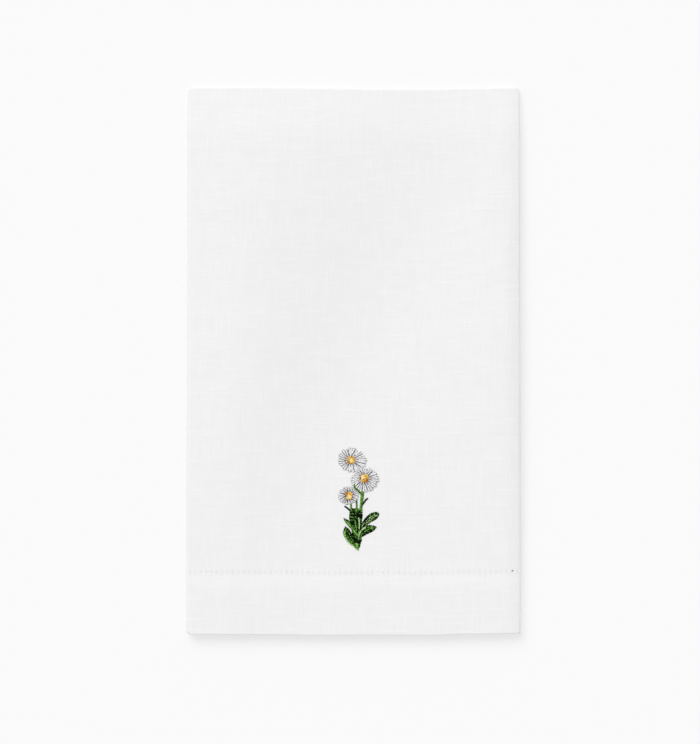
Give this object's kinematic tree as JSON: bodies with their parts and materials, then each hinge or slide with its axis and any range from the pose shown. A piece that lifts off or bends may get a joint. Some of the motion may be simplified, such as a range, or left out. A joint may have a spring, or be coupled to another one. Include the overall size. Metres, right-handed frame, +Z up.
{
  "type": "folded hand towel",
  "caption": "White linen hand towel with hemstitched hems and a small embroidered daisy sprig, folded flat with both sides turned behind and once across.",
  "frame": {"origin": "under the middle of the folded towel, on the surface it lies on", "axes": "+X across the face to the right, +Y from the hemmed end towards the cross fold, +Z up out of the embroidered face"},
  "size_m": [0.1748, 0.2856, 0.0062],
  "materials": {
    "linen": "plain-woven bleached linen, matt, with slubs",
    "white_thread": "satin-stitched embroidery thread, soft sheen",
    "grey_thread": "embroidery thread, soft sheen",
    "yellow_thread": "embroidery thread, soft sheen",
    "orange_thread": "embroidery thread, soft sheen",
    "green_thread": "embroidery thread, soft sheen",
    "dark_green_thread": "embroidery thread, soft sheen"
  },
  "bodies": {
    "root": {"hand_towel": "linen"}
  },
  "joints": []
}
